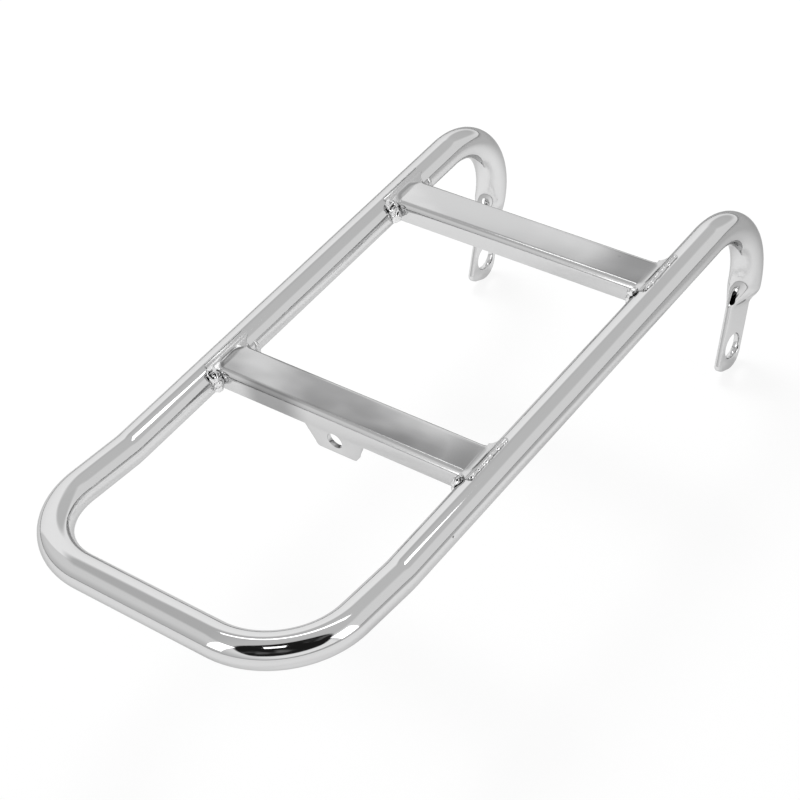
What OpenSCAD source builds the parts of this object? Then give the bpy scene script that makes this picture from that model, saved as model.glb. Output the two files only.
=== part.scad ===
// Motorcycle luggage rack: one bent tube frame with hooked, flattened and drilled ends,
// joined by two pressed sheet crossmembers that are welded between its side rails.
// The closed end points to -Y, the hooks to +Y, and the load rests on the side that faces +Z.
// The origin is the middle of the line through both bolt holes.

/* [Frame tube] */
// Outside diameter of the frame tube
tube_d = 12.7; // [11.5:0.1:13.5]
// Wall thickness of the frame tube
tube_wall = 1.4; // [1.1:0.1:1.8]
// Distance between the centrelines of the two side rails
rail_pitch = 121.6; // [105:0.2:150]
// Length of the straight rails, from the start of the hooks to the kick-up bend
deck_len = 188; // [165:1:230]
// Angle by which the closed end kicks up
kick_angle = 6.4; // [2:0.2:14]
// Centreline radius of the kick-up bend
kick_r = 31; // [20:1:60]
// Distance from the end of the kick-up bend to the centreline of the closed end
tail_len = 53.5; // [42:0.5:80]
// Centreline radius of the two corners of the closed end
corner_r = 31.6; // [18:0.2:38]

/* [Hooks] */
// Centreline radius of the hooks
hook_r = 26.4; // [20:0.2:40]
// Angle through which each hook turns down from the rail
hook_angle = 116; // [95:1:125]
// Round part of each leg below the hook bend
leg_round = 0.5; // [0.5:0.5:3]
// Length over which the tube is pressed from round to flat
flatten_len = 10; // [8:0.5:14]
// Distance from the end of the hook bend to the bolt hole
leg_len = 26.8; // [25.2:0.2:45]
// Width of the flattened tab
tab_w = 15.6; // [14.4:0.2:18]
// Distance from the bolt hole to the tip of the tab
tab_tip = 9.8; // [8:0.2:14]
// Radius of the tip's corner on the side that faces the deck
tab_inner_r = 2.5; // [1:0.5:4]
// Radius of the tip's corner on the side that faces away from the deck
tab_outer_r = 7; // [4:0.5:9]
// Diameter of the bolt holes in the tabs
bolt_hole_d = 10.6; // [8.4:0.1:11]
// How far the middle of each tab lies inward of its rail's centreline
tab_inset = 1; // [0:0.1:3]
// Width of the vent holes across the leg
vent_w = 2; // [1.6:0.1:4]
// Length of the vent holes along the leg
vent_len = 4.8; // [4.2:0.1:8]
// Distance from the end of the hook bend down to the middle of the vent holes
vent_drop = 1.8; // [0:0.1:3]

/* [Crossmembers] */
// Width of each crossmember along the rack
cross_w = 16.5; // [14:0.5:24]
// Height of each crossmember, from its top to the edges of its flanges
cross_h = 8.4; // [6:0.1:10]
// Thickness of the pressed sheet
sheet_t = 1.8; // [1.2:0.1:2.2]
// Outside radius of the bends between the top and the flanges
bend_r = 2.8; // [2.4:0.1:4]
// How far the top of the crossmembers lies below the top of the rails
cross_drop = 1.4; // [0.8:0.1:3]
// Radius, seen from above, of the flared corners that meet the rails on the hook side
hook_flare_r = 5; // [3:0.5:7]
// Radius of the flared corners that meet the rails on the closed end's side
tail_flare_r = 3; // [2.5:0.5:7]
// Width of the rising lip that laps onto each rail
lip_w = 4.8; // [3:0.1:6]
// Distance from the start of the hooks back to the middle of the front crossmember
front_cross_at = 30.6; // [25:0.5:60]
// Distance from the middle of the front crossmember back to the middle of the rear one
cross_spacing = 107.4; // [60:0.2:115]

/* [Bracket lug] */
// Distance from the rack's middle plane to the middle of the bracket lug, to the left
lug_offset = 2.6; // [0:0.2:8]
// Width of the bracket lug where it leaves the flange
lug_root_w = 26; // [22:0.5:40]
// Width of the bracket lug along its lower edge
lug_tip_w = 19; // [14:0.5:20]
// How far the bracket lug hangs below the edge of the flange
lug_drop = 9; // [7:0.5:16]
// Radius of the lower corners of the bracket lug
lug_corner_r = 2; // [1:0.5:4]
// Diameter of the hole in the bracket lug
lug_hole_d = 6.6; // [5.5:0.1:7]
// Distance from the edge of the flange down to the middle of the lug's hole
lug_hole_drop = 2.9; // [1:0.1:3.5]

/* [Welds] */
// Width of the weld runs along the lips
lip_bead_w = 2.2; // [1.8:0.1:3]
// Width of the weld runs round the ends of the flanges on the hook side
hook_bead_w = 3.4; // [3:0.1:4.4]
// Width of the weld runs round the ends of the flanges on the closed end's side
tail_bead_w = 5; // [4:0.1:6]
// How far short of the flare's end, along the rail, the middle of those weld runs lies
bead_short = 0.8; // [0.1:0.1:1.5]
// Distance from one weld ripple to the next
ripple_pitch = 1.4; // [1.1:0.1:1.6]

/* [Hidden] */
$fn = 64;

tube_r = tube_d / 2;
bore_r = tube_r - tube_wall;
rail_x = rail_pitch / 2;
tab_t = 2 * tube_wall;

// The bolt axis, measured from the start of the hooks at the height of the rails' centrelines
bolt_y = hook_r * sin(hook_angle) + leg_len * cos(hook_angle);
bolt_z = -hook_r * (1 - cos(hook_angle)) - leg_len * sin(hook_angle);

flat_from = leg_round + flatten_len;
vent_z = tidy(-hook_r * (1 - cos(hook_angle)) - vent_drop);
tail_straight = tail_len - corner_r;

// Each straight runs this far into its bends, which are a little fuller, and the pressed stretch
// lies a little inside the round leg and the tab at its ends, so that they all join in one solid.
// The flared corners lap this far into the flat top
seat = 0.3;
swell = 0.05;
sink = 0.05;
lap = 0.5;

// Where the top of a crossmember meets the rail, to a twentieth of a millimetre
function tidy(length) = round(length * 20) / 20;
cross_top = tidy(tube_r - cross_drop);
meet_x = tidy(rail_x - sqrt(tube_r * tube_r - cross_top * cross_top));
rear_cross_at = front_cross_at + cross_spacing;
beside_cross = cross_w / 2 + max(hook_flare_r, tail_flare_r) + tube_d;

// The lip rises by this share of its width, and leaves a margin round the flares and at their ends
lip_slope = 0.4;
lip_margin = 0.6;
lip_end = meet_x + lip_w / 2;
lip_rise = tidy(lip_w * lip_slope);
lip_arc_r = tidy((lip_w * lip_w + lip_rise * lip_rise) / (2 * lip_rise));
function lip_reach(flare_r) = cross_w / 2 + flare_r - 2 * lip_margin;

// The joint between a flange and the rail, as a point at height z, and the heights a weld covers there
bead_off = 0.3;
function rail_face_x(z) = rail_x - sqrt(tube_r * tube_r - z * z);
function flange_joint(z, flare_r) = [rail_face_x(z) - bead_off, cross_w / 2 + flare_r - bead_short, z];
function joint_low(width) = max(cross_top - cross_h, 1 - cross_top) + width / 2;
joint_high = tidy(cross_top - 0.6);

// Outline of the tube while it is pressed flat, as a stadium of half thickness a and half width b
loft_rings = 10;
loft_sides = 40;
function ease(t) = t * t * (3 - 2 * t);
function mix(a, b, t) = a + (b - a) * t;
function stadium_point(a, b, angle) = [a * cos(angle), (b - a) * sign(sin(angle)) + a * sin(angle)];

// Moves what is drawn from the start of the hooks to the bolt axis
module from_bolts() {
  translate([0, -bolt_y, -bolt_z]) children();
}

module both_sides() {
  children();
  mirror([1, 0, 0]) children();
}

// A round bar of radius r along +Y, which runs on past its ends by the given overlaps
module bar(r, length, before = 0, after = 0) {
  translate([0, -before, 0]) rotate([-90, 0, 0]) cylinder(r = r, h = before + length + after);
}

// The plane of the closed end, turned up by the kick
module at_tail() {
  translate([0, -deck_len, kick_r]) rotate([-kick_angle, 0, 0]) translate([0, 0, -kick_r]) children();
}

// The end of the right hook's bend, with +Y along the leg
module at_leg() {
  translate([rail_x, 0, -hook_r]) rotate([-hook_angle, 0, 0]) translate([0, 0, hook_r]) children();
}

module hook_bend(r) {
  translate([rail_x, 0, -hook_r])
    rotate([0, -90, 0])
      rotate_extrude(angle = hook_angle) translate([hook_r, 0]) circle(r + swell);
}

module kick_bend(r) {
  translate([rail_x, -deck_len, kick_r])
    mirror([0, 1, 0]) rotate([0, 90, 0])
      rotate_extrude(angle = kick_angle) translate([kick_r, 0]) circle(r + swell);
}

module closed_end(r) {
  at_tail() {
    both_sides() {
      translate([rail_x, -tail_straight, 0]) bar(r, tail_straight, seat, seat);
      translate([rail_x - corner_r, -tail_straight, 0])
        rotate([0, 0, -90]) rotate_extrude(angle = 90) translate([corner_r, 0]) circle(r + swell);
    }
    translate([corner_r - rail_x, -tail_len, 0])
      rotate([0, 0, -90]) bar(r, rail_pitch - 2 * corner_r, seat, seat);
  }
}

// The whole round run of the tube at radius r, from one leg to the other
module round_run(r) {
  both_sides() {
    translate([rail_x, -deck_len, 0]) bar(r, deck_len, seat, seat);
    hook_bend(r);
    kick_bend(r);
    at_leg() bar(r, leg_round, seat);
  }
  closed_end(r);
}

// The stretch where the tube is pressed from round to flat, drawn inside its skin by the given depth.
// It starts one ring up in the round leg and ends at the last ring, which is past the stretch for the
// skin, and for the bore is where its walls meet.
module pressed_stretch(depth, last) {
  rings = last + 1;
  points = [
    for (k = [-1:last])
      let (
        t = ease(max(0, min(1, k / loft_rings))),
        a = mix(tube_r, tab_t / 2, t) - depth - sink,
        b = mix(tube_r, tab_w / 2, t) - depth - sink
      )
      for (i = [0:loft_sides - 1])
        let (p = stadium_point(a, b, (i + 0.5) * 360 / loft_sides))
          [p[0] - tab_inset * t, leg_round + flatten_len * k / loft_rings, p[1]]
  ];
  sides = [
    for (k = [0:rings - 1])
      for (i = [0:loft_sides - 1])
        let (j = (i + 1) % loft_sides, m = k * loft_sides)
          [m + i, m + j, m + loft_sides + j, m + loft_sides + i]
  ];
  start = [[for (i = [loft_sides - 1:-1:0]) i]];
  end = [[for (i = [0:loft_sides - 1]) rings * loft_sides + i]];
  polyhedron(points, concat(start, sides, end), convexity = 4);
}

// The flat tab below the pressed stretch, with full round long edges and a rounded tip
module tab() {
  tip = leg_len + tab_tip;
  translate([-tab_inset, 0, 0])
    intersection() {
      translate([0, flat_from, 0])
        rotate([-90, 0, 0])
          linear_extrude(tip - flat_from) {
            square([tab_t, tab_w - tab_t], center = true);
            for (side = [-1, 1]) translate([0, side * (tab_w - tab_t) / 2]) circle(tab_t / 2);
          }
      rotate([0, -90, 0])
        linear_extrude(2 * tab_t, center = true) {
          translate([-tab_w, 0]) square([2 * tab_w, tip - tab_outer_r]);
          translate([tab_inner_r - tab_w / 2, 0]) square([tab_w - tab_inner_r - tab_outer_r, tip]);
          translate([-tab_w, 0]) square([tab_w, tip - tab_inner_r]);
          translate([tab_inner_r - tab_w / 2, tip - tab_inner_r]) circle(tab_inner_r);
          translate([tab_w / 2 - tab_outer_r, tip - tab_outer_r]) circle(tab_outer_r);
        }
    }
}

// The vent slot, drilled level through both sides of the leg where the pressing starts
module vent() {
  translate([rail_x, 0, vent_z])
    rotate([-90, 0, 0])
      linear_extrude(hook_r + tube_d) {
        square([vent_w, vent_len - vent_w], center = true);
        for (side = [-1, 1]) translate([0, side * (vent_len - vent_w) / 2]) circle(vent_w / 2);
      }
}

module frame_tube() {
  color("gainsboro")
    from_bolts()
      difference() {
        union() {
          round_run(tube_r);
          both_sides() at_leg() {
            pressed_stretch(0, loft_rings + 1);
            tab();
          }
        }
        round_run(bore_r);
        both_sides() {
          at_leg() pressed_stretch(tube_wall, loft_rings - 2);
          at_leg() translate([-tab_inset, leg_len, 0])
            rotate([0, 90, 0]) cylinder(d = bolt_hole_d, h = 4 * tab_t, center = true);
          vent();
        }
      }
}

// Half of the pressing's section: x outward from its middle line, y up, with its top at zero
module pressing_section(half_w) {
  translate([0, -sheet_t]) square([half_w - bend_r, sheet_t]);
  translate([half_w - sheet_t, -cross_h]) square([sheet_t, cross_h - bend_r]);
  translate([half_w - bend_r, -bend_r])
    intersection() {
      difference() {
        circle(bend_r);
        circle(bend_r - sheet_t);
      }
      square(bend_r);
    }
}

// Half of the straight channel, on the hook side of its middle line
module half_channel(flare_r) {
  rotate([90, 0, 90]) linear_extrude(2 * (meet_x - flare_r), center = true) pressing_section(cross_w / 2);
}

// Moves to the middle of the flare on the right, on the hook side
module at_flare(flare_r) {
  translate([meet_x - flare_r, cross_w / 2 + flare_r, 0]) children();
}

// One flared corner, where the flange turns out to run along the rail
module flared_corner(flare_r) {
  at_flare(flare_r)
    rotate([0, 0, -90])
      rotate_extrude(angle = 90)
        translate([flare_r + bend_r + lap, 0]) mirror([1, 0]) pressing_section(bend_r + lap);
}

// The top beside one flared corner, and its lip, which rises onto the rail
module end_top(flare_r) {
  difference() {
    translate([meet_x - flare_r, 0, -sheet_t])
      cube([rail_x - meet_x + flare_r, cross_w / 2 + flare_r, sheet_t]);
    at_flare(flare_r) translate([0, 0, -2 * sheet_t]) cylinder(r = flare_r + bend_r, h = 4 * sheet_t);
  }
  difference() {
    translate([0, lip_reach(flare_r), 0])
      rotate([90, 0, 0])
        linear_extrude(lip_reach(flare_r))
          difference() {
            translate([lip_end - lip_w, -sheet_t]) square([lip_w, sheet_t + lip_rise - sink]);
            translate([lip_end - lip_w, lip_arc_r]) circle(lip_arc_r);
          }
    at_flare(flare_r) translate([0, 0, -cross_h]) cylinder(r = flare_r + lip_margin, h = 3 * cross_h);
  }
}

// All of a pressing on one side of its middle line
module half_pressing(flare_r) {
  half_channel(flare_r);
  both_sides() {
    end_top(flare_r);
    flared_corner(flare_r);
  }
}

module crossmember_blank() {
  difference() {
    translate([0, 0, cross_top]) {
      half_pressing(hook_flare_r);
      mirror([0, 1, 0]) half_pressing(tail_flare_r);
    }
    both_sides() rail_stub();
  }
}

// The stretch of the right rail beside a crossmember, which is cut from what seats on it
module rail_stub() {
  translate([rail_x, -beside_cross, 0]) bar(tube_r, 2 * beside_cross);
}

module front_crossmember() {
  color("silver") from_bolts() translate([0, -front_cross_at, 0]) crossmember_blank();
}

// The lug's outline in its own plane, hanging from the flange's edge at y = 0
module lug_outline() {
  half_tip = lug_tip_w / 2 - lug_corner_r;
  polygon([
    [-lug_root_w / 2, 0], [lug_root_w / 2, 0],
    [lug_tip_w / 2, lug_corner_r - lug_drop], [-lug_tip_w / 2, lug_corner_r - lug_drop]
  ]);
  translate([-half_tip, -lug_drop]) square([2 * half_tip, lug_drop]);
  for (side = [-1, 1]) translate([side * half_tip, lug_corner_r - lug_drop]) circle(lug_corner_r);
}

module rear_crossmember() {
  color("silver")
    from_bolts()
      translate([0, -rear_cross_at, 0])
        difference() {
          union() {
            crossmember_blank();
            in_lug_plane() linear_extrude(sheet_t) lug_outline();
          }
          in_lug_plane() translate([0, -lug_hole_drop, -sheet_t]) cylinder(d = lug_hole_d, h = 3 * sheet_t);
        }
}

// The lug's plane, seen from the closed end: the inner face of the flange, with y = 0 at its edge
module in_lug_plane() {
  translate([-lug_offset, sheet_t - cross_w / 2, cross_top - cross_h]) rotate([90, 0, 0]) children();
}

// A lump of weld metal, whose size varies a little from one ripple to the next
module ripple(width, index) {
  sphere(d = width * (1 + 0.09 * sin(index * 137)), $fn = 24);
}

// The run along the outer edge of a lip, on the right rail
module lip_weld() {
  first = lip_bead_w / 2 - lip_reach(tail_flare_r);
  last = lip_reach(hook_flare_r) - lip_bead_w / 2;
  steps = floor((last - first) / ripple_pitch);
  bead_x = lip_end + bead_off;
  bead_z = sqrt(tube_r * tube_r - pow(rail_x - bead_x, 2));
  color("lightgray")
    difference() {
      intersection() {
        translate([bead_x, 0, bead_z])
          for (i = [0:steps]) translate([0, first + (last - first) * i / steps, 0]) ripple(lip_bead_w, i);
        translate([lip_end, -beside_cross, 0]) cube([lip_bead_w, 2 * beside_cross, 2 * tube_d]);
      }
      rail_stub();
    }
}

// The outline of the space that a pressing's corner fills, out to a reach and with its top at zero
module filled_section(reach) {
  translate([0, -cross_h - reach]) square([reach, cross_h + reach - bend_r]);
  translate([lip_margin, -bend_r - lap]) square([reach, reach]);
  translate([bend_r, -bend_r]) circle(bend_r);
}

// The space that the corner on the right, on the hook side, takes from its weld
module filled_corner(flare_r, reach) {
  translate([0, 0, cross_top])
    at_flare(flare_r) {
      rotate([0, 0, -90]) rotate_extrude(angle = 90) translate([flare_r, 0]) filled_section(reach);
      translate([0, -flare_r, 0]) rotate([90, 0, -90]) linear_extrude(reach) filled_section(reach);
    }
}

// The run round the end of the right-hand flange on the hook side, which fills the flare's hollow
module flange_weld(width, flare_r) {
  low = joint_low(width);
  steps = ceil((joint_high - low) / ripple_pitch);
  color("lightgray")
    difference() {
      for (i = [0:steps])
        translate(flange_joint(low + (joint_high - low) * i / steps, flare_r)) ripple(width, i);
      filled_corner(flare_r, tube_d);
      rail_stub();
    }
}

// Places a weld drawn for the right rail: at is its crossmember, left and tail mirror it to its own corner
module weld(at, left = 0, tail = 0) {
  from_bolts() translate([0, -at, 0]) mirror([left, 0, 0]) mirror([0, tail, 0]) children();
}

frame_tube();
front_crossmember();
rear_crossmember();
weld(front_cross_at, 1, 0) lip_weld();  // weld_front_left_lip
weld(front_cross_at, 1, 0) flange_weld(hook_bead_w, hook_flare_r);  // weld_front_left_hook_side
weld(front_cross_at, 1, 1) flange_weld(tail_bead_w, tail_flare_r);  // weld_front_left_tail_side
weld(front_cross_at, 0, 0) lip_weld();  // weld_front_right_lip
weld(front_cross_at, 0, 0) flange_weld(hook_bead_w, hook_flare_r);  // weld_front_right_hook_side
weld(front_cross_at, 0, 1) flange_weld(tail_bead_w, tail_flare_r);  // weld_front_right_tail_side
weld(rear_cross_at, 1, 0) lip_weld();  // weld_rear_left_lip
weld(rear_cross_at, 1, 0) flange_weld(hook_bead_w, hook_flare_r);  // weld_rear_left_hook_side
weld(rear_cross_at, 1, 1) flange_weld(tail_bead_w, tail_flare_r);  // weld_rear_left_tail_side
weld(rear_cross_at, 0, 0) lip_weld();  // weld_rear_right_lip
weld(rear_cross_at, 0, 0) flange_weld(hook_bead_w, hook_flare_r);  // weld_rear_right_hook_side
weld(rear_cross_at, 0, 1) flange_weld(tail_bead_w, tail_flare_r);  // weld_rear_right_tail_side
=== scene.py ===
from math import atan2, cos, pi, radians, sin, sqrt

import bmesh
import bpy
from mathutils import Matrix, Vector


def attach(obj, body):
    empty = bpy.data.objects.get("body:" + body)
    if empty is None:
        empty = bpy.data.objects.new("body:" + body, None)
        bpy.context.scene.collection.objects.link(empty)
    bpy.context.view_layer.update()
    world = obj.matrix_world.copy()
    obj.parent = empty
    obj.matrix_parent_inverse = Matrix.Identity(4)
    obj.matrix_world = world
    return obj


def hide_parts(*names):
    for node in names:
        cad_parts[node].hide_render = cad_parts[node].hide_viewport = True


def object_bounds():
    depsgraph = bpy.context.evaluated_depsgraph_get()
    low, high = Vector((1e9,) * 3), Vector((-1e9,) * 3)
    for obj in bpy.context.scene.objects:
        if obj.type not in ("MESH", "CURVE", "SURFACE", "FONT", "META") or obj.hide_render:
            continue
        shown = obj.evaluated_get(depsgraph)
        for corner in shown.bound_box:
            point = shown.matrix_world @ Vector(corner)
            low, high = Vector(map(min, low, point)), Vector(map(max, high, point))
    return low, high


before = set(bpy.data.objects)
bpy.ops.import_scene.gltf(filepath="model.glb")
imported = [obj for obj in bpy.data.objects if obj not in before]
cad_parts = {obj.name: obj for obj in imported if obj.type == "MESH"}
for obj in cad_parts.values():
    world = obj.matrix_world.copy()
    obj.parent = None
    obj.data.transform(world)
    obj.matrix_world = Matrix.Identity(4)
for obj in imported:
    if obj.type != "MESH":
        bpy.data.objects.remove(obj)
cad_box = [list(corner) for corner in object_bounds()]


# Camera. It stands above the closed end's right-hand corner and looks along the rack to the hooks,
# turned a little anticlockwise. Its place and lens come from the outline of the tubes in the picture.
camera_place = Vector((0.408995, -0.530466, 0.574535))
camera_azimuth = radians(45.247)
camera_elevation = radians(42.393)
camera_roll = radians(-11.808)
lens_in_picture_widths = 2159.27 / 800
sensor_width, near_clip, far_clip = 36, 0.05, 20

sight = Vector((-sin(camera_azimuth) * cos(camera_elevation),
                cos(camera_azimuth) * cos(camera_elevation), -sin(camera_elevation)))
level = Vector((cos(camera_azimuth), sin(camera_azimuth), 0))
upright = level.cross(sight)
across = cos(camera_roll) * level + sin(camera_roll) * upright
upward = cos(camera_roll) * upright - sin(camera_roll) * level
camera_turn = Matrix((across, upward, -sight)).transposed().to_4x4()

camera_data = bpy.data.cameras.new("camera")
camera_data.sensor_width = sensor_width
camera_data.lens = sensor_width * lens_in_picture_widths
camera_data.clip_start, camera_data.clip_end = near_clip, far_clip
camera = bpy.data.objects.new("camera", camera_data)
camera.matrix_world = Matrix.Translation(camera_place) @ camera_turn
bpy.context.scene.collection.objects.link(camera)
bpy.context.scene.camera = camera


# Floor. A plain pale sheet under the ends of the hooks. It is white to the camera and to the metal,
# as photographer's paper is, and grey paint elsewhere, so it still carries the rack's soft shadow. The
# metal sees it grow dim away from the rack, where the lamps don't reach, as the edge of a table does.
floor_half, floor_gap = 3.0, 0.0002
floor_paint, floor_white = (0.82, 0.82, 0.82, 1), (1, 1, 1, 1)
share_to_camera, share_to_metal = 0.88, 0.45
lit_middle, lit_to, dim_from = (-0.15, -0.60, 0), 0.62, 0.78
camera_strength, lit_strength, dim_strength = 1.0, 1.1, 0.10

floor_mesh = bpy.data.meshes.new("floor")
floor_bm = bmesh.new()
bmesh.ops.create_grid(floor_bm, x_segments=1, y_segments=1, size=floor_half)
bmesh.ops.translate(floor_bm, verts=floor_bm.verts, vec=(0, 0, cad_box[0][2] - floor_gap))
floor_bm.to_mesh(floor_mesh)
floor_bm.free()
floor = bpy.data.objects.new("floor", floor_mesh)
bpy.context.scene.collection.objects.link(floor)

paper = bpy.data.materials.new("floor paper")
paper.use_nodes = True
paper_nodes, paper_links = paper.node_tree.nodes, paper.node_tree.links
paper_nodes.clear()
paper_out = paper_nodes.new("ShaderNodeOutputMaterial")
paper_paint = paper_nodes.new("ShaderNodeBsdfDiffuse")
paper_paint.inputs["Color"].default_value = floor_paint
paper_white = paper_nodes.new("ShaderNodeEmission")
paper_white.inputs["Color"].default_value = floor_white
paper_mix = paper_nodes.new("ShaderNodeMixShader")
paper_path = paper_nodes.new("ShaderNodeLightPath")
paper_place = paper_nodes.new("ShaderNodeTexCoord")
paper_length = paper_nodes.new("ShaderNodeVectorMath")
paper_length.operation = "DISTANCE"
paper_length.inputs[1].default_value = lit_middle
paper_dim = paper_nodes.new("ShaderNodeMapRange")
paper_dim.interpolation_type = "SMOOTHSTEP"
for socket, value in (("From Min", lit_to), ("From Max", dim_from),
                      ("To Min", lit_strength), ("To Max", dim_strength)):
    paper_dim.inputs[socket].default_value = value
paper_lit = paper_nodes.new("ShaderNodeMix")
paper_lit.inputs["A"].default_value = camera_strength
paper_to_metal = paper_nodes.new("ShaderNodeMath")
paper_to_camera = paper_nodes.new("ShaderNodeMath")
for seen, share in ((paper_to_metal, share_to_metal), (paper_to_camera, share_to_camera)):
    seen.operation = "MULTIPLY"
    seen.inputs[1].default_value = share
paper_share = paper_nodes.new("ShaderNodeMath")
paper_share.operation = "MAXIMUM"
paper_links.new(paper_place.outputs["Object"], paper_length.inputs[0])
paper_links.new(paper_length.outputs["Value"], paper_dim.inputs["Value"])
paper_links.new(paper_path.outputs["Is Glossy Ray"], paper_lit.inputs["Factor"])
paper_links.new(paper_dim.outputs["Result"], paper_lit.inputs["B"])
paper_links.new(paper_lit.outputs["Result"], paper_white.inputs["Strength"])
paper_links.new(paper_path.outputs["Is Glossy Ray"], paper_to_metal.inputs[0])
paper_links.new(paper_path.outputs["Is Camera Ray"], paper_to_camera.inputs[0])
paper_links.new(paper_to_metal.outputs[0], paper_share.inputs[0])
paper_links.new(paper_to_camera.outputs[0], paper_share.inputs[1])
paper_links.new(paper_share.outputs[0], paper_mix.inputs["Fac"])
paper_links.new(paper_paint.outputs[0], paper_mix.inputs[1])
paper_links.new(paper_white.outputs[0], paper_mix.inputs[2])
paper_links.new(paper_mix.outputs[0], paper_out.inputs["Surface"])
floor_mesh.materials.append(paper)


# Studio lamps. A long strip hangs overhead behind the rack, a tall soft box stands on each side of the
# camera and a small one hangs above it: they are the white marks in the metal. The key lamp, which the
# metal doesn't show, casts the shadow.
def soft_box(name, place, target, width, height, brightness):
    """A lamp as a lit rectangle that faces its target. Brightness is its shade as the metal shows it."""
    lamp = bpy.data.lights.new(name, "AREA")
    lamp.shape = "RECTANGLE"
    lamp.size, lamp.size_y = width, height
    lamp.energy = brightness * pi * width * height
    holder = bpy.data.objects.new(name, lamp)
    holder.location = place
    holder.rotation_mode = "QUATERNION"
    holder.rotation_quaternion = (Vector(target) - Vector(place)).to_track_quat("-Z", "Y")
    bpy.context.scene.collection.objects.link(holder)
    return holder


rack_middle, near_corner = (0, -0.11, 0.05), (0.04, -0.24, 0.07)
strip_place, strip_turn = (-0.17, 0.275, 1.26), radians(25)
strip = soft_box("overhead strip", strip_place, (-0.17, 0.275, 0), width=1.1, height=0.14, brightness=2.4)
strip.rotation_quaternion = Matrix.Rotation(strip_turn, 3, "Z").to_quaternion()
soft_box("box left of the camera", (-0.36, -1.27, 0.66), near_corner, width=0.34, height=0.90, brightness=1.9)
soft_box("box right of the camera", (1.14, -0.01, 0.34), near_corner, width=0.40, height=0.80, brightness=1.9)
soft_box("box above the camera", (0.36, -0.70, 1.27), near_corner, width=0.34, height=0.20, brightness=2.6)
key = soft_box("key", (-0.75, 0.55, 1.25), rack_middle, width=0.6, height=0.6, brightness=17)
key.visible_glossy = False


# Room. The walls are pale and grow darker to one side, the ceiling is greyer, a grey screen stands behind
# the hooks, and the corner above the photographer is dark and cluttered. Each shade fades over a span of how
# far the sight points towards it. The camera itself sees only white.
across_rack, along_rack, overhead = (1, 0, 0), (0, 1, 0), (0, 0, 1)
back_span, back_shades = (-0.1, 0.5), (1.14, 0.91)
front_span, front_shades = (-0.35, 0.2), (0.86, 1.08)
low_front, low_front_span, low_front_shade = (-0.4, -0.8, -1.2), (0.1, 0.9), 0.64
back_from_front_span = (-0.06, 0.0)
screen, screen_span, screen_shade = (-0.05, 0.88, 0.47), (0.88, 0.95), 0.68
ceiling, ceiling_span = (0.057, 0.05, 1), (0.645, 0.745)
roof_span, roof_shades = (-0.56, -0.15), (0.60, 0.70)
above_lamps_span = (0.24, 0.34)
photographer, photographer_span = (0.5, -0.5, 0.707), (0.76, 0.80)
clutter_scale, clutter_span, clutter_shades = 3.2, (0.50, 0.75), (0.015, 0.16)

world = bpy.data.worlds.new("room")
world.use_nodes = True
bpy.context.scene.world = world
room_nodes, room_links = world.node_tree.nodes, world.node_tree.links
room_nodes.clear()
room_sight = room_nodes.new("ShaderNodeTexCoord")


def towards(direction):
    """How far the line of sight points in a direction."""
    dot = room_nodes.new("ShaderNodeVectorMath")
    dot.operation = "DOT_PRODUCT"
    dot.inputs[1].default_value = direction
    room_links.new(room_sight.outputs["Generated"], dot.inputs[0])
    return dot.outputs["Value"]


def fade(value, span, shades=(0.0, 1.0)):
    """Goes smoothly from one shade to another as a value goes over its span."""
    ramp = room_nodes.new("ShaderNodeMapRange")
    ramp.interpolation_type = "SMOOTHSTEP"
    for socket, number in zip(("From Min", "From Max", "To Min", "To Max"), span + shades):
        ramp.inputs[socket].default_value = number
    room_links.new(value, ramp.inputs["Value"])
    return ramp.outputs["Result"]


def blended(share, first, second):
    """Mixes two shades, each of them a number or a socket."""
    mix = room_nodes.new("ShaderNodeMix")
    room_links.new(share, mix.inputs["Factor"])
    for socket, shade in (("A", first), ("B", second)):
        if isinstance(shade, float):
            mix.inputs[socket].default_value = shade
        else:
            room_links.new(shade, mix.inputs[socket])
    return mix.outputs["Result"]


back_walls = fade(towards(across_rack), back_span, back_shades)
front_walls = fade(towards(across_rack), front_span, front_shades)
front_walls = blended(fade(towards(low_front), low_front_span), front_walls, low_front_shade)
walls = blended(fade(towards(along_rack), back_from_front_span), front_walls, back_walls)
walls = blended(fade(towards(screen), screen_span), walls, screen_shade)
roof = fade(towards(across_rack), roof_span, roof_shades)
room_shade = blended(fade(towards(ceiling), ceiling_span), walls, roof)
dark_corner = room_nodes.new("ShaderNodeMath")
dark_corner.operation = "MULTIPLY"
room_links.new(fade(towards(overhead), above_lamps_span), dark_corner.inputs[0])
room_links.new(fade(towards(photographer), photographer_span), dark_corner.inputs[1])
clutter = room_nodes.new("ShaderNodeTexNoise")
clutter.inputs["Scale"].default_value = clutter_scale
room_links.new(room_sight.outputs["Generated"], clutter.inputs["Vector"])
corner_shade = fade(clutter.outputs["Fac"], clutter_span, clutter_shades)
room_shade = blended(dark_corner.outputs[0], room_shade, corner_shade)

room_light = room_nodes.new("ShaderNodeBackground")
room_white = room_nodes.new("ShaderNodeBackground")
room_white.inputs["Color"].default_value = (1, 1, 1, 1)
room_mix = room_nodes.new("ShaderNodeMixShader")
room_path = room_nodes.new("ShaderNodeLightPath")
room_out = room_nodes.new("ShaderNodeOutputWorld")
room_links.new(room_shade, room_light.inputs["Color"])
room_links.new(room_path.outputs["Is Camera Ray"], room_mix.inputs["Fac"])
room_links.new(room_light.outputs[0], room_mix.inputs[1])
room_links.new(room_white.outputs[0], room_mix.inputs[2])
room_links.new(room_mix.outputs[0], room_out.inputs["Surface"])


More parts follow.
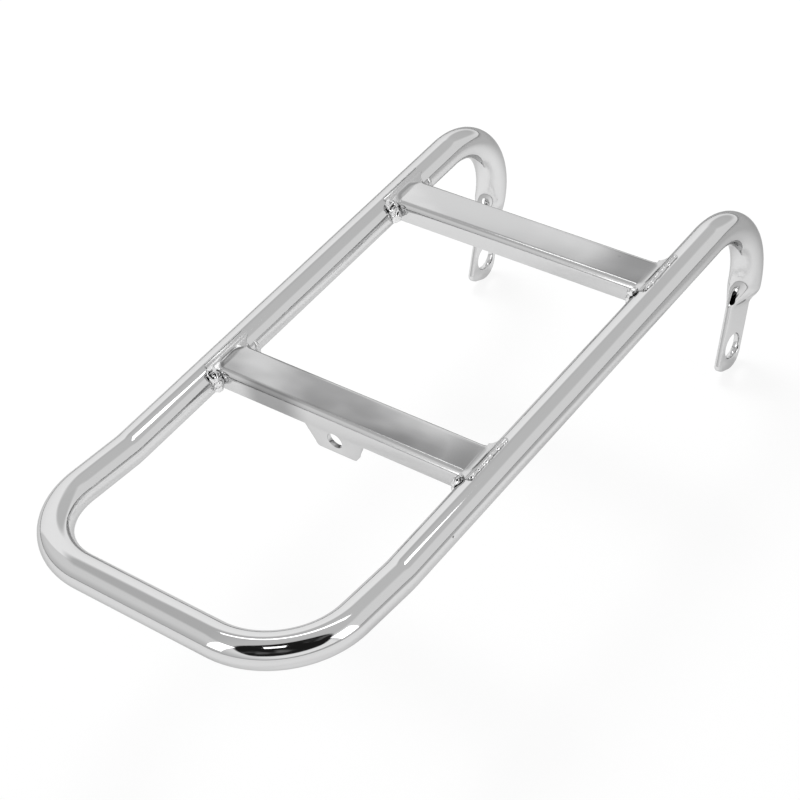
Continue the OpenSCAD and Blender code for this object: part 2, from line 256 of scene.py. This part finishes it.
# Plated steel, for all the finishes. The surface under the plate is a little wavy and has a fine grain,
# a few pits and specks that the plating didn't fill, and faint smears where it was wiped.
grain_scale, pit_scale, smear_scale = 1100.0, 150.0, 16.0
wave_detail, smear_detail, smear_distortion = 1.0, 7.0, 1.2
pit_floor, pit_rim = 0.03, 0.09
smears_from, smears_to = 0.4, 0.7
grazing_tint = (0.62, 0.62, 0.62, 1)

plated = bpy.data.node_groups.new("plated steel", "ShaderNodeTree")
for name, value in (("Waviness", 0.0001), ("Wave Scale", 45.0), ("Grain", 0.000004), ("Pit Depth", 0.0002),
                    ("Pit Share", 0.12)):
    socket = plated.interface.new_socket(name, in_out="INPUT", socket_type="NodeSocketFloat")
    socket.default_value = value
for name in ("Height", "Pits", "Smears"):
    plated.interface.new_socket(name, in_out="OUTPUT", socket_type="NodeSocketFloat")

plated_in = plated.nodes.new("NodeGroupInput")
plated_out = plated.nodes.new("NodeGroupOutput")
plated_place = plated.nodes.new("ShaderNodeTexCoord")
plated_waves = plated.nodes.new("ShaderNodeTexNoise")
plated_waves.inputs["Detail"].default_value = wave_detail
plated_grain = plated.nodes.new("ShaderNodeTexNoise")
plated_grain.inputs["Scale"].default_value = grain_scale
plated_smears = plated.nodes.new("ShaderNodeTexNoise")
plated_smears.inputs["Scale"].default_value = smear_scale
plated_smears.inputs["Detail"].default_value = smear_detail
plated_smears.inputs["Distortion"].default_value = smear_distortion
plated_cells = plated.nodes.new("ShaderNodeTexVoronoi")
plated_cells.inputs["Scale"].default_value = pit_scale
plated_chance = plated.nodes.new("ShaderNodeSeparateColor")
plated_chosen = plated.nodes.new("ShaderNodeMath")
plated_chosen.operation = "LESS_THAN"
plated_round = plated.nodes.new("ShaderNodeMapRange")
plated_round.interpolation_type = "SMOOTHSTEP"
for socket, number in (("From Min", pit_floor), ("From Max", pit_rim), ("To Min", 1.0), ("To Max", 0.0)):
    plated_round.inputs[socket].default_value = number
for noise in (plated_waves, plated_grain, plated_smears, plated_cells):
    plated.links.new(plated_place.outputs["Object"], noise.inputs["Vector"])
plated.links.new(plated_in.outputs["Wave Scale"], plated_waves.inputs["Scale"])
plated.links.new(plated_cells.outputs["Color"], plated_chance.inputs["Color"])
plated.links.new(plated_chance.outputs["Red"], plated_chosen.inputs[0])
plated.links.new(plated_in.outputs["Pit Share"], plated_chosen.inputs[1])
plated.links.new(plated_cells.outputs["Distance"], plated_round.inputs["Value"])


def plated_math(operation, first, second):
    """A sum of two sockets in the group."""
    step = plated.nodes.new("ShaderNodeMath")
    step.operation = operation
    plated.links.new(first, step.inputs[0])
    plated.links.new(second, step.inputs[1])
    return step.outputs[0]


pits = plated_math("MULTIPLY", plated_round.outputs["Result"], plated_chosen.outputs[0])
waves = plated_math("MULTIPLY", plated_waves.outputs["Fac"], plated_in.outputs["Waviness"])
grain = plated_math("MULTIPLY", plated_grain.outputs["Fac"], plated_in.outputs["Grain"])
depths = plated_math("MULTIPLY", pits, plated_in.outputs["Pit Depth"])
relief = plated_math("SUBTRACT", plated_math("ADD", waves, grain), depths)
plated.links.new(relief, plated_out.inputs["Height"])
plated.links.new(pits, plated_out.inputs["Pits"])
plated.links.new(plated_smears.outputs["Fac"], plated_out.inputs["Smears"])


def chrome(name, colour, pit_colour, roughness, smeared, **flaws):
    """A plated finish: the group's flaws by name, over a colour and a roughness that the smears raise."""
    finish = bpy.data.materials.new(name)
    finish.use_nodes = True
    nodes, links = finish.node_tree.nodes, finish.node_tree.links
    plate = nodes["Principled BSDF"]
    plate.inputs["Metallic"].default_value = 1
    plate.inputs["Specular Tint"].default_value = grazing_tint
    surface = nodes.new("ShaderNodeGroup")
    surface.name, surface.node_tree = "surface", plated
    for socket, value in flaws.items():
        surface.inputs[socket.replace("_", " ").title()].default_value = value
    tint = nodes.new("ShaderNodeMix")
    tint.name, tint.data_type = "tint", "RGBA"
    tint.inputs["A"].default_value = colour
    tint.inputs["B"].default_value = pit_colour
    dulling = nodes.new("ShaderNodeMapRange")
    dulling.name = "dulling"
    for socket, value in (("From Min", smears_from), ("From Max", smears_to),
                          ("To Min", roughness), ("To Max", smeared)):
        dulling.inputs[socket].default_value = value
    bump = nodes.new("ShaderNodeBump")
    bump.name = "bump"
    bump.inputs["Distance"].default_value = 1.0
    links.new(surface.outputs["Pits"], tint.inputs["Factor"])
    links.new(surface.outputs["Smears"], dulling.inputs["Value"])
    links.new(surface.outputs["Height"], bump.inputs["Height"])
    links.new(tint.outputs["Result"], plate.inputs["Base Color"])
    links.new(dulling.outputs["Result"], plate.inputs["Roughness"])
    links.new(bump.outputs["Normal"], plate.inputs["Normal"])
    return finish


def plate_with(finish, piece, crease=None):
    """Smooths a piece, but for its creases where it has any, and gives it its finish."""
    piece.data.shade_smooth()
    if crease:
        piece.data.set_sharp_from_angle(angle=crease)
    piece.data.materials.clear()
    piece.data.materials.append(finish)


def applied(piece):
    """Turns a piece's modifiers into its mesh."""
    made = bpy.data.meshes.new_from_object(piece.evaluated_get(bpy.context.evaluated_depsgraph_get()))
    piece.modifiers.clear()
    piece.data = made


# Frame tube. One length of half-inch steel tube, bent cold into a long U, with its ends hooked down,
# pressed flat and drilled. It is polished before it is plated, so its chrome is the brightest on the rack.
# It is drawn in millimetres from the start of the right hook, and mirrored.
rail_x, tube_r, tube_wall = 60.8, 6.35, 1.4
deck_length, kick_angle, kick_radius = 188.0, radians(6.4), 31.0
tail_length, corner_radius = 53.5, 31.6
hook_radius, hook_angle = 26.4, radians(116)
leg_round, flatten_length, leg_length = 0.5, 10.0, 26.8
tab_width, tab_tip, tab_inset = 15.6, 9.78, 1.0
tip_inner_radius, tip_outer_radius, tip_rounding = 2.5, 7.0, 0.25
bolt_hole_r, hole_edge, edge_middle_in, edge_middle_out = 5.3, 0.35, 0.12, 0.13
vent_width, vent_length, vent_drop = 2.0, 4.8, 1.8
tube_sides, bend_steps, corner_steps, kick_steps, press_rings = 72, 56, 44, 6, 26
first_flat_ring, outer_tip_steps, inner_tip_steps = 2.0, range(6, 85, 6), (3, 15, 33, 51, 69)
hole_sides, vent_sides = 64, 32
cavity_from, cavity_to = 0.6, 0.8
tube_crease = radians(32)

tab_t = 2 * tube_wall
flat_from = leg_round + flatten_length
tip = leg_length + tab_tip
bolt_y = hook_radius * sin(hook_angle) + leg_length * cos(hook_angle)
bolt_z = -hook_radius * (1 - cos(hook_angle)) - leg_length * sin(hook_angle)
vent_z = -hook_radius * (1 - cos(hook_angle)) - vent_drop
millimetres_from_hooks = Matrix.Scale(0.001, 4) @ Matrix.Translation((0, -bolt_y, -bolt_z))
leg_down = Vector((0, cos(hook_angle), -sin(hook_angle)))
leg_out = Vector((0, sin(hook_angle), cos(hook_angle)))
leg_start = Vector((rail_x, hook_radius * sin(hook_angle), -hook_radius * (1 - cos(hook_angle))))
hook_centre = (rail_x, 0, -hook_radius)


def verts_of(geom):
    return [part for part in geom if isinstance(part, bmesh.types.BMVert)]


def edges_of(geom):
    return [part for part in geom if isinstance(part, bmesh.types.BMEdge)]


def eased(t):
    """Goes from 0 to 1 with no kink at either end."""
    t = max(0.0, min(1.0, t))
    return t * t * (3 - 2 * t)


def pressed_outline(half_t, low, high, turn):
    """A point on the outline of the pressed tube, by its share of the way round from the outer face."""
    straight = (high - low) - 2 * half_t
    around = 2 * pi * half_t
    length = turn * (2 * straight + 2 * pi * half_t)
    middle = (high + low) / 2
    if length < straight / 2:
        return half_t, middle + length
    length -= straight / 2
    if length < around / 2:
        angle = length / half_t
        return half_t * cos(angle), high - half_t + half_t * sin(angle)
    length -= around / 2
    if length < straight:
        return -half_t, high - half_t - length
    length -= straight
    if length < around / 2:
        angle = pi + length / half_t
        return half_t * cos(angle), low + half_t + half_t * sin(angle)
    length -= around / 2
    return half_t, low + half_t + length


def press_ring(bm, edges, along, half_t, low, high, inset):
    """Extrudes a ring of the leg's wall and presses it to its outline at that distance down the leg."""
    grown = bmesh.ops.extrude_edge_only(bm, edges=edges)["geom"]
    for vert in verts_of(grown):
        across_leg, out = pressed_outline(half_t, low, high, vert[turn_layer])
        vert.co = leg_start + leg_down * along + leg_out * out + Vector((across_leg - inset, 0, 0))
    return edges_of(grown)


def tube_ring(bm, radius):
    """The tube's section at the start of the right hook, with each point's share of the way round kept."""
    ring = bmesh.ops.create_circle(bm, cap_ends=False, radius=radius, segments=tube_sides)["verts"]
    bmesh.ops.rotate(bm, verts=ring, cent=(0, 0, 0), matrix=Matrix.Rotation(radians(90), 3, "X"))
    for vert in ring:
        angle = atan2(vert.co.z, vert.co.x)
        vert[turn_layer] = (angle / (2 * pi)) % 1.0
    bmesh.ops.translate(bm, verts=ring, vec=(rail_x, 0, 0))
    return list({edge for vert in ring for edge in vert.link_edges})


def pressed_leg(bm, edges, depth, last):
    """The leg below the hook, from round to flat, inside its skin by the given depth."""
    for k in range(1, last + 1):
        share = eased(k / press_rings)
        half_t = tube_r + (tab_t / 2 - tube_r) * share - depth
        half_w = tube_r + (tab_width / 2 - tube_r) * share - depth
        along = leg_round + flatten_length * k / press_rings
        edges = press_ring(bm, edges, along, half_t, -half_w, half_w, tab_inset * share)
    return edges


def piece_from(bm, name, place=millimetres_from_hooks):
    """Makes an object of a mesh drawn in millimetres from the start of the hooks."""
    bmesh.ops.transform(bm, matrix=place, verts=bm.verts)
    mesh = bpy.data.meshes.new(name)
    bm.to_mesh(mesh)
    bm.free()
    made = bpy.data.objects.new(name, mesh)
    bpy.context.scene.collection.objects.link(made)
    return made


frame_bm = bmesh.new()
turn_layer = frame_bm.verts.layers.float.new("turn")
start_ring = tube_ring(frame_bm, tube_r)
hook = bmesh.ops.spin(frame_bm, geom=start_ring, cent=hook_centre, axis=(1, 0, 0),
                      angle=-hook_angle, steps=bend_steps, use_merge=False)["geom_last"]
ring = pressed_leg(frame_bm, edges_of(hook), 0, press_rings)
stations = [flat_from + first_flat_ring, leg_length, tip - tip_outer_radius, tip - tip_rounding, tip]
stations += [tip - tip_outer_radius * (1 - sin(radians(step))) for step in outer_tip_steps]
stations += [tip - tip_inner_radius * (1 - sin(radians(step))) for step in inner_tip_steps]
for along in sorted(stations):
    into_outer = max(0.0, along - (tip - tip_outer_radius))
    into_inner = max(0.0, along - (tip - tip_inner_radius))
    high = tab_width / 2 - tip_outer_radius + sqrt(max(0.0, tip_outer_radius ** 2 - into_outer ** 2))
    low = -tab_width / 2 + tip_inner_radius - sqrt(max(0.0, tip_inner_radius ** 2 - into_inner ** 2))
    rounding = tip_rounding if along == tip else 0.0
    ring = press_ring(frame_bm, ring, along, tab_t / 2 - rounding, low, high, tab_inset)
bmesh.ops.contextual_create(frame_bm, geom=ring)

rail_end = bmesh.ops.extrude_edge_only(frame_bm, edges=start_ring)["geom"]
bmesh.ops.translate(frame_bm, verts=verts_of(rail_end), vec=(0, -deck_length, 0))
kick = bmesh.ops.spin(frame_bm, geom=edges_of(rail_end), cent=(rail_x, -deck_length, kick_radius),
                      axis=(1, 0, 0), angle=-kick_angle, steps=kick_steps, use_merge=False)["geom_last"]
tail_back = Vector((0, -cos(kick_angle), sin(kick_angle)))
tail_up = Vector((0, sin(kick_angle), cos(kick_angle)))
tail_start = Vector((0, -deck_length - kick_radius * sin(kick_angle), kick_radius * (1 - cos(kick_angle))))
tail_straight = tail_back * (tail_length - corner_radius)
straight = bmesh.ops.extrude_edge_only(frame_bm, edges=edges_of(kick))["geom"]
bmesh.ops.translate(frame_bm, verts=verts_of(straight), vec=tail_straight)
corner = bmesh.ops.spin(frame_bm, geom=edges_of(straight), axis=tail_up, angle=radians(-90),
                        cent=Vector((rail_x - corner_radius, 0, 0)) + tail_start + tail_straight,
                        steps=corner_steps, use_merge=False)["geom_last"]
middle = bmesh.ops.extrude_edge_only(frame_bm, edges=edges_of(corner))["geom"]
for vert in verts_of(middle):
    vert.co.x = 0

cavity = tube_ring(frame_bm, tube_r - tube_wall)
bmesh.ops.rotate(frame_bm, verts=list({vert for edge in cavity for vert in edge.verts}), cent=hook_centre,
                 matrix=Matrix.Rotation(-hook_angle * cavity_from, 3, "X"))
bmesh.ops.contextual_create(frame_bm, geom=cavity)
hollow = bmesh.ops.spin(frame_bm, geom=cavity, cent=hook_centre, axis=(1, 0, 0),
                        angle=-hook_angle * (1 - cavity_from), steps=bend_steps // 3,
                        use_merge=False)["geom_last"]
hollow = pressed_leg(frame_bm, edges_of(hollow), tube_wall, int(press_rings * cavity_to))
bmesh.ops.contextual_create(frame_bm, geom=hollow)

bmesh.ops.mirror(frame_bm, geom=frame_bm.verts[:] + frame_bm.edges[:] + frame_bm.faces[:],
                 matrix=Matrix.Identity(4), merge_dist=0.001, axis="X")
bmesh.ops.recalc_face_normals(frame_bm, faces=frame_bm.faces[:])
frame_piece = piece_from(frame_bm, "frame_tube_skin")

drill_bm = bmesh.new()
bolt_outline = ((tab_t / 2 - edge_middle_in, bolt_hole_r + edge_middle_out),
                (tab_t / 2 - hole_edge, bolt_hole_r), (-tab_t / 2 + hole_edge, bolt_hole_r),
                (-tab_t / 2 + edge_middle_in, bolt_hole_r + edge_middle_out),
                (-tab_t / 2 - hole_edge, bolt_hole_r + 2 * hole_edge))
for side in (-1, 1):
    hole = bmesh.ops.create_circle(drill_bm, cap_ends=True, radius=bolt_hole_r + 2 * hole_edge,
                                   segments=hole_sides)["verts"]
    bmesh.ops.rotate(drill_bm, verts=hole, cent=(0, 0, 0), matrix=Matrix.Rotation(radians(90), 3, "Y"))
    ring = list({edge for vert in hole for edge in vert.link_edges})
    bmesh.ops.translate(drill_bm, verts=hole, vec=(tab_t / 2 + hole_edge, 0, 0))
    drawn = list(hole)
    for reach, radius in bolt_outline:
        grown = bmesh.ops.extrude_edge_only(drill_bm, edges=ring)["geom"]
        ring = edges_of(grown)
        drawn += verts_of(grown)
        for vert in verts_of(grown):
            vert.co = Vector((0, vert.co.y, vert.co.z)).normalized() * radius + Vector((reach, 0, 0))
    bmesh.ops.contextual_create(drill_bm, geom=ring)
    bmesh.ops.translate(drill_bm, verts=drawn,
                        vec=leg_start + leg_down * leg_length - Vector((tab_inset, 0, 0)))
    slot = bmesh.ops.create_circle(drill_bm, cap_ends=True, radius=vent_width / 2,
                                   segments=vent_sides)["verts"]
    for vert in slot:
        vert.co.y += (vent_length - vent_width) / 2 * (1 if vert.co.y > 0 else -1)
    bmesh.ops.rotate(drill_bm, verts=slot, cent=(0, 0, 0), matrix=Matrix.Rotation(radians(90), 3, "X"))
    bmesh.ops.translate(drill_bm, verts=slot, vec=(rail_x, 0, vent_z))
    faces = list({face for vert in slot for face in vert.link_faces})
    far_slot = verts_of(bmesh.ops.extrude_face_region(drill_bm, geom=faces)["geom"])
    bmesh.ops.translate(drill_bm, verts=far_slot, vec=(0, hook_radius + 2 * tube_r, 0))
    drawn += slot + far_slot
    if side < 0:
        bmesh.ops.scale(drill_bm, verts=list(set(drawn)), vec=(-1, 1, 1))
bmesh.ops.recalc_face_normals(drill_bm, faces=drill_bm.faces[:])
drill = piece_from(drill_bm, "drill")

drilling = frame_piece.modifiers.new("drilling", "BOOLEAN")
drilling.operation, drilling.solver, drilling.object = "DIFFERENCE", "EXACT", drill
applied(frame_piece)
bpy.data.objects.remove(drill)

bright_chrome = chrome("bright chrome", (0.66, 0.66, 0.662, 1), (0.2, 0.2, 0.2, 1), 0.035, 0.075,
                       waviness=0.00010, wave_scale=38.0, grain=0.0000015, pit_depth=0.00012, pit_share=0.06)
plate_with(bright_chrome, frame_piece, tube_crease)
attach(frame_piece, "root")
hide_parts("frame_tube")


# Crossmembers. Each is a pressed steel channel with soft bends and flared ends that lap onto the rails.
# The cut edges are eased. The tops are satin, because the wheel only reached the bends and the flanges,
# and they are crowned so little that it shows only in what they reflect. They were plated with the rack.
# Their colour also holds painted reflections and shade: the front top is painted paler than the rear one,
# both tops are painted dark towards their right ends and in blotches, the rear one's bends, flanges and
# lips are painted dark on its left third, and a painted shade lies in the crease where each top rises into
# its left lip.
edge_ease, edge_segments = 0.00028, 3
cut_edges, pressing_crease, same_point = radians(40), radians(30), 0.000002
pressing_chrome = chrome("chrome on a pressing with painted reflections and shade", (0.63, 0.63, 0.632, 1), (0.12, 0.12, 0.12, 1), 0.09, 0.16,
                         waviness=0.00006, wave_scale=60.0, grain=0.000004, pit_depth=0.00025, pit_share=0.10)
# Painted reflections on the tops: a pale and a dark shade for each, the front one paler than the rear.
rear_top_painted_pale, rear_top_painted_dark = (0.60, 0.60, 0.602, 1), (0.34, 0.34, 0.342, 1)
front_top_painted_pale, front_top_painted_dark = (0.68, 0.68, 0.682, 1), (0.30, 0.30, 0.302, 1)
# Painted dark reflection off the rear pressing's top on its left third, and painted shade in the lips'
# creases.
flange_painted_dark_reflection, crease_painted_shade_colour = (0.36, 0.36, 0.362, 1), (0.24, 0.24, 0.242, 1)
top_roughness, lip_roughness = 0.17, 0.24
middle_y, half_spacing, middle_blur = -0.0963, 0.0537, 0.001
flat_end, flat_side, flat_round = 0.0528, 0.0022, 0.0035
rise_width, rise_height, end_span, top_facing = 0.0018, 0.00016, (0.0005, 0.0025), (0.93, 0.995)
# Painted shade in the crease where each top rises into its left lip, half as dark on the front one.
crease_shade_start, crease_shade_inner, crease_shade_outer, front_crease_shade_loss = 0.0008, 0.0005, 0.0013, 0.5
# Where the tops' painted dark reflections lie: in blotches and towards their right ends.
blotch_scale, blotch_detail, blotch_stretch, blotch_span = 30.0, 3.0, (0.55, 1.0, 1.0), (0.36, 0.62)
front_dark_reflection_span, front_dark_reflection_share, front_blotch_reflection_share = (0.026, 0.046), 0.72, 0.28
rear_dark_reflection_span, rear_dark_reflection_share = (0.036, 0.052), 0.8
third_from, third_to = (-0.047, -0.036), (-0.026, -0.012)
crown_tilt, crown_bend = 0.012, 0.25

pressing_nodes, pressing_links = pressing_chrome.node_tree.nodes, pressing_chrome.node_tree.links
pressing_place = pressing_nodes.new("ShaderNodeTexCoord")
pressing_at = pressing_nodes.new("ShaderNodeSeparateXYZ")
pressing_links.new(pressing_place.outputs["Object"], pressing_at.inputs[0])
facing = pressing_nodes.new("ShaderNodeSeparateXYZ")
pressing_links.new(pressing_place.outputs["Normal"], facing.inputs[0])
pressing_x, pressing_y = pressing_at.outputs["X"], pressing_at.outputs["Y"]


def pressing_math(operation, *terms):
    """A sum in the pressing's material. Each term is a number or a socket."""
    step = pressing_nodes.new("ShaderNodeMath")
    step.operation = operation
    for place, term in enumerate(terms):
        if isinstance(term, (int, float)):
            step.inputs[place].default_value = term
        else:
            pressing_links.new(term, step.inputs[place])
    return step.outputs[0]


def pressing_fade(value, low, high):
    """Goes smoothly from 0 to 1 as a value goes from low to high."""
    ramp = pressing_nodes.new("ShaderNodeMapRange")
    ramp.interpolation_type = "SMOOTHSTEP"
    ramp.inputs["From Min"].default_value, ramp.inputs["From Max"].default_value = low, high
    pressing_links.new(value, ramp.inputs["Value"])
    return ramp.outputs["Result"]


def all_but(share):
    """What a share leaves."""
    return pressing_math("SUBTRACT", 1, share)


def pressing_mix(kind, share, first, second):
    """Mixes two colours (RGBA) or two numbers (FLOAT), each of them given or a socket."""
    mix = pressing_nodes.new("ShaderNodeMix")
    mix.data_type = kind
    pressing_links.new(share, mix.inputs["Factor"])
    for place, term in (("A", first), ("B", second)):
        if isinstance(term, bpy.types.NodeSocket):
            pressing_links.new(term, mix.inputs[place])
        else:
            mix.inputs[place].default_value = term
    return mix.outputs["Result"]


off_middle = pressing_math("ABSOLUTE", pressing_math("SUBTRACT", pressing_y, middle_y))
off_own_middle = pressing_math("ABSOLUTE", pressing_math("SUBTRACT", off_middle, half_spacing))
off_rack_middle = pressing_math("ABSOLUTE", pressing_x)
past_end = pressing_math("MAXIMUM", pressing_math("SUBTRACT", off_rack_middle, flat_end), 0)
past_side = pressing_math("MAXIMUM", pressing_math("SUBTRACT", off_own_middle, flat_side), 0)
past_corner = pressing_math("SQRT", pressing_math("ADD", pressing_math("POWER", past_end, 2),
                                                  pressing_math("POWER", past_side, 2)))
at_end = pressing_fade(past_end, *end_span)
on_lip = pressing_math("MULTIPLY", at_end, pressing_fade(past_corner, flat_round, flat_round + rise_width))
on_top = pressing_math("MULTIPLY", pressing_fade(facing.outputs["Z"], *top_facing), all_but(on_lip))
is_front = pressing_fade(pressing_y, middle_y - middle_blur, middle_y + middle_blur)
on_right = pressing_fade(pressing_x, -middle_blur, middle_blur)

# Painted dark reflections on the tops, in blotches and towards each top's right end.
blotch_place = pressing_nodes.new("ShaderNodeVectorMath")
blotch_place.operation = "MULTIPLY"
blotch_place.inputs[1].default_value = blotch_stretch
blotches = pressing_nodes.new("ShaderNodeTexNoise")
blotches.inputs["Scale"].default_value = blotch_scale
blotches.inputs["Detail"].default_value = blotch_detail
pressing_links.new(pressing_place.outputs["Object"], blotch_place.inputs[0])
pressing_links.new(blotch_place.outputs["Vector"], blotches.inputs["Vector"])
painted_reflection_blotches = pressing_fade(blotches.outputs["Fac"], *blotch_span)
front_dark_reflection = pressing_math("MULTIPLY_ADD", pressing_fade(pressing_x, *front_dark_reflection_span), front_dark_reflection_share,
                          pressing_math("MULTIPLY", painted_reflection_blotches, front_blotch_reflection_share))
rear_dark_reflection = pressing_math("MULTIPLY", pressing_fade(pressing_x, *rear_dark_reflection_span), rear_dark_reflection_share)
rear_dark_reflection = pressing_math("MAXIMUM", painted_reflection_blotches, rear_dark_reflection)
# Painted dark reflection on the left third of the rear pressing, off its top.
left_third_painted_reflection = pressing_math("MULTIPLY", pressing_fade(pressing_x, *third_from),
                           all_but(pressing_fade(pressing_x, *third_to)))
left_third_painted_reflection = pressing_math("MULTIPLY", left_third_painted_reflection, all_but(is_front))
# Painted shade: a dark ring in the crease at each top's left end, where it rises into the lip.
crease_painted_shade = pressing_math(
    "MULTIPLY", pressing_fade(past_corner, flat_round - crease_shade_start, flat_round),
    all_but(pressing_fade(past_corner, flat_round + crease_shade_inner, flat_round + crease_shade_outer)))
crease_painted_shade = pressing_math("MULTIPLY", pressing_math("MULTIPLY", crease_painted_shade, at_end), all_but(on_right))
crease_painted_shade = pressing_math("MULTIPLY", crease_painted_shade, pressing_math("MULTIPLY_ADD", is_front, -front_crease_shade_loss, 1))

plate = pressing_nodes["Principled BSDF"]
# The tops' colour is painted reflection: pale, and painted dark at the right ends and in blotches.
tops = pressing_mix("RGBA", is_front, pressing_mix("RGBA", rear_dark_reflection, rear_top_painted_pale, rear_top_painted_dark),
                    pressing_mix("RGBA", front_dark_reflection, front_top_painted_pale, front_top_painted_dark))
# Off the tops, the plate's tint with its pits, painted dark on the rear pressing's left third.
flanges = pressing_mix("RGBA", left_third_painted_reflection, pressing_nodes["tint"].outputs["Result"], flange_painted_dark_reflection)
pressing_colour = pressing_mix("RGBA", on_top, flanges, tops)
pressing_colour = pressing_mix("RGBA", crease_painted_shade, pressing_colour, crease_painted_shade_colour)
pressing_links.new(pressing_colour, plate.inputs["Base Color"])
satin = pressing_mix("FLOAT", on_top, pressing_nodes["dulling"].outputs["Result"], top_roughness)
pressing_links.new(pressing_mix("FLOAT", on_lip, satin, lip_roughness), plate.inputs["Roughness"])
crown = pressing_math("MULTIPLY", pressing_x,
                      pressing_math("MULTIPLY_ADD", pressing_x, -crown_bend, -crown_tilt))
pressing_height = pressing_math("ADD", pressing_math("MULTIPLY_ADD", on_lip, rise_height, crown),
                                pressing_nodes["surface"].outputs["Height"])
pressing_links.new(pressing_height, pressing_nodes["bump"].inputs["Height"])


def merged_copy(node, name):
    """A copy of a CAD node's mesh as a new piece, with the points of its loose faces joined."""
    copy_bm = bmesh.new()
    copy_bm.from_mesh(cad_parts[node].data)
    bmesh.ops.remove_doubles(copy_bm, verts=copy_bm.verts, dist=same_point)
    return piece_from(copy_bm, name, Matrix.Identity(4))


for node in ("front_crossmember", "rear_crossmember"):
    pressing = merged_copy(node, node + "_pressing")
    easing = pressing.modifiers.new("easing", "BEVEL")
    easing.limit_method, easing.angle_limit = "ANGLE", cut_edges
    easing.width, easing.segments = edge_ease, edge_segments
    applied(pressing)
    plate_with(pressing_chrome, pressing, pressing_crease)
    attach(pressing, "root")
    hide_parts(node)


# Welds. Each run is a row of puddles that froze into each other. The left lips were dressed flat, the right
# ones are drawn out, the hook side's runs lie deep in their corners, and the closed end's are heaped up.
# Each is fused with the tube and its crossmember, and they were plated with the rack, pores and all.
# The closed end's weld metal is painted brighter than the rest of the plating: a painted sheen for its
# highlights.
weld_chrome_painted_bright = chrome("chrome on weld metal", (0.78, 0.78, 0.782, 1), (0.04, 0.04, 0.04, 1), 0.035, 0.08,
                     waviness=0.0006, wave_scale=300.0, grain=0.000006, pit_depth=0.0004, pit_share=0.22)
dressed_chrome = chrome("chrome on dressed weld metal", (0.62, 0.62, 0.622, 1), (0.12, 0.12, 0.12, 1), 0.30,
                        0.40, waviness=0.0001, wave_scale=120.0, grain=0.000006, pit_depth=0.0002,
                        pit_share=0.1)
lip_weld_chrome = chrome("chrome on lip weld metal", (0.70, 0.70, 0.702, 1), (0.08, 0.08, 0.08, 1), 0.06,
                         0.12, waviness=0.0003, wave_scale=220.0, grain=0.000006, pit_depth=0.0003,
                         pit_share=0.08)
weld_voxel, settled_share, lump_middle = 0.00022, 0.6, 0.40
heaped_size, drawn_size = 0.0019, 0.0036
# The end of a run's name, its finish, how often it is smoothed, the height of its lumps, what is worn off
# its surface, and how far it lies towards the rail's outside and up.
weld_kinds = (("left_lip", dressed_chrome, 30, 0.0001, 0.0002, 0.0, -0.0001),
              ("right_lip", lip_weld_chrome, 30, 0.0009, 0.0, 0.0, 0.0),
              ("hook_side", dressed_chrome, 60, 0.0, 0.0004, 0.0007, -0.0014),
              ("right_tail_side", weld_chrome_painted_bright, 10, 0.0009, 0.0005, 0.0, 0.0),
              ("left_tail_side", weld_chrome_painted_bright, 4, 0.0011, 0.0002, 0.0, 0.0006))

heaped = bpy.data.textures.new("heaped weld", "CLOUDS")
drawn_out = bpy.data.textures.new("drawn out weld", "CLOUDS")
for lumps, lump_size in ((heaped, heaped_size), (drawn_out, drawn_size)):
    lumps.noise_scale, lumps.noise_depth = lump_size, 1

for run in [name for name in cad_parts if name.startswith("weld")]:
    kind = next(kind for kind in weld_kinds if run.endswith(kind[0]))
    finish, rounds, lump_height, worn, outward, raised = kind[1:]
    weld = merged_copy(run, run + "_metal")
    fusing = weld.modifiers.new("fusing", "REMESH")
    fusing.mode, fusing.voxel_size = "VOXEL", weld_voxel
    settling = weld.modifiers.new("settling", "SMOOTH")
    settling.factor, settling.iterations = settled_share, rounds
    heaping = weld.modifiers.new("heaping", "DISPLACE")
    heaping.texture, heaping.texture_coords = drawn_out if run.endswith("lip") else heaped, "LOCAL"
    heaping.strength, heaping.mid_level = lump_height, lump_middle
    wearing = weld.modifiers.new("wearing", "DISPLACE")
    wearing.strength, wearing.mid_level = -worn, 0.0
    applied(weld)
    weld.data.transform(Matrix.Translation((outward if "right" in run else -outward, 0, raised)))
    plate_with(finish, weld)
    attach(weld, "root")
    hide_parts(run)


bpy.context.scene.view_settings.view_transform = "Standard"
